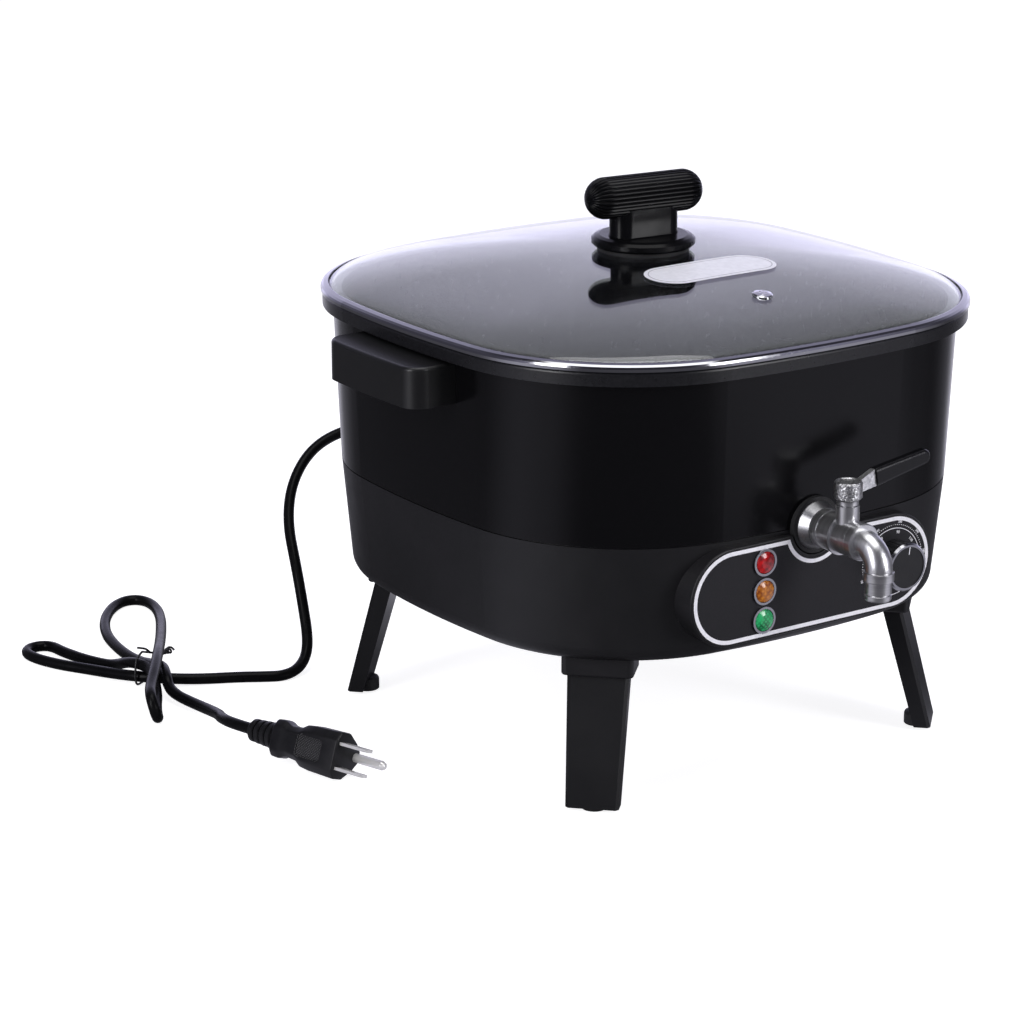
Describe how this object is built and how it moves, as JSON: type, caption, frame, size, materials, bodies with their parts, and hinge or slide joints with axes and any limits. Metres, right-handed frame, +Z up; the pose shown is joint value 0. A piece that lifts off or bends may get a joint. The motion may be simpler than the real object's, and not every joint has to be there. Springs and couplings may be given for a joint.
{
  "type": "candle wax melter",
  "caption": "Electric wax melting pot on splayed legs, with a glass lid, side handles, drain tap with quarter-turn lever, lamps and thermostat dial on a front panel, and mains cord.",
  "frame": {"origin": "on the ground plane that the feet stand on, below the centre of the pot", "axes": "+Z up; the control panel and the tap face -Y; the side handles point along +X and -X"},
  "size_m": [0.4067, 0.5029, 0.2882],
  "materials": {
    "gloss_paint": "glossy black baked enamel",
    "pot_coating": "smooth black non-stick coating",
    "satin_plastic": "fine satin black moulding",
    "panel_plastic": "satin charcoal plate with a white border line",
    "knob_plastic": "semi-gloss black phenolic",
    "black_rubber": "soft black silicone",
    "clear_glass": "clear tempered glass",
    "polished_steel": "polished stainless steel",
    "tap_steel": "polished to brushed stainless steel",
    "screw_steel": "plain zinc-plated steel",
    "heater_aluminium": "cast aluminium",
    "brass_metal": "plain brass and copper",
    "cream_plastic": "cream heat-proof plastic",
    "white_plastic": "glossy white",
    "red_plastic": "clear red",
    "amber_plastic": "clear amber",
    "green_plastic": "clear green",
    "cord_pvc": "smooth black PVC",
    "pin_nickel": "nickel plate"
  },
  "bodies": {
    "pot_body": {"amber_lens": "amber_plastic", "back_left_leg": "satin_plastic", "back_right_leg": "satin_plastic", "base_cover": "satin_plastic", "base_shell": "satin_plastic", "cord_gland": "cord_pvc", "cord_tie": "cord_pvc", "cover_screws": "screw_steel", "foot_pads": "black_rubber", "front_left_leg": "satin_plastic", "front_right_leg": "satin_plastic", "green_lens": "green_plastic", "handle_screws": "screw_steel", "heater_plate": "heater_aluminium", "heater_strap": "screw_steel", "heating_element": "screw_steel", "inner_pot": "pot_coating", "lamp_bezels": "white_plastic", "lamp_bodies": "cream_plastic", "left_handle": "satin_plastic", "leg_screws": "screw_steel", "leg_sockets": "satin_plastic", "panel_fascia": "panel_plastic", "panel_housing": "satin_plastic", "plug_blades": "pin_nickel", "plug_body": "cord_pvc", "plug_ground_pin": "pin_nickel", "pot_housing": "gloss_paint", "pot_screws": "screw_steel", "power_cord": "cord_pvc", "red_lens": "red_plastic", "right_handle": "satin_plastic", "tap_body": "tap_steel", "tap_bonnet": "tap_steel", "tap_escutcheon": "tap_steel", "tap_gasket": "black_rubber", "tap_inner_gasket": "black_rubber", "tap_nut": "tap_steel", "tap_outlet": "tap_steel", "tap_spout": "tap_steel", "terminal_block": "cream_plastic", "thermal_fuse": "white_plastic", "thermostat_body": "cream_plastic", "thermostat_bulb": "brass_metal"},
    "lid": {"lid_glass": "clear_glass", "lid_rim": "polished_steel", "lid_knob": "knob_plastic", "knob_base": "knob_plastic", "knob_seal": "black_rubber", "knob_screw": "screw_steel", "steam_vent": "polished_steel"},
    "tap_lever_body": {"valve_plug": "tap_steel", "tap_cap": "tap_steel", "tap_lever": "tap_steel", "lever_sleeve": "black_rubber"},
    "dial": {"dial_knob": "knob_plastic", "dial_ring": "polished_steel", "thermostat_shaft": "brass_metal"}
  },
  "joints": [
    {"name": "lid_lift", "type": "slide", "parent": "pot_body", "child": "lid", "axis": [0, 0, 1], "range_m": [0, 0.2]},
    {"name": "tap_lever_turn", "type": "hinge", "parent": "pot_body", "child": "tap_lever_body", "pos_m": [0, -0.167, 0.16], "axis": [0, 0, 1], "range_deg": [-90, 0]},
    {"name": "thermostat_turn", "type": "hinge", "parent": "pot_body", "child": "dial", "pos_m": [0.0495, -0.1446, 0.10945], "axis": [0, 1, 0], "range_deg": [0, 290]}
  ]
}
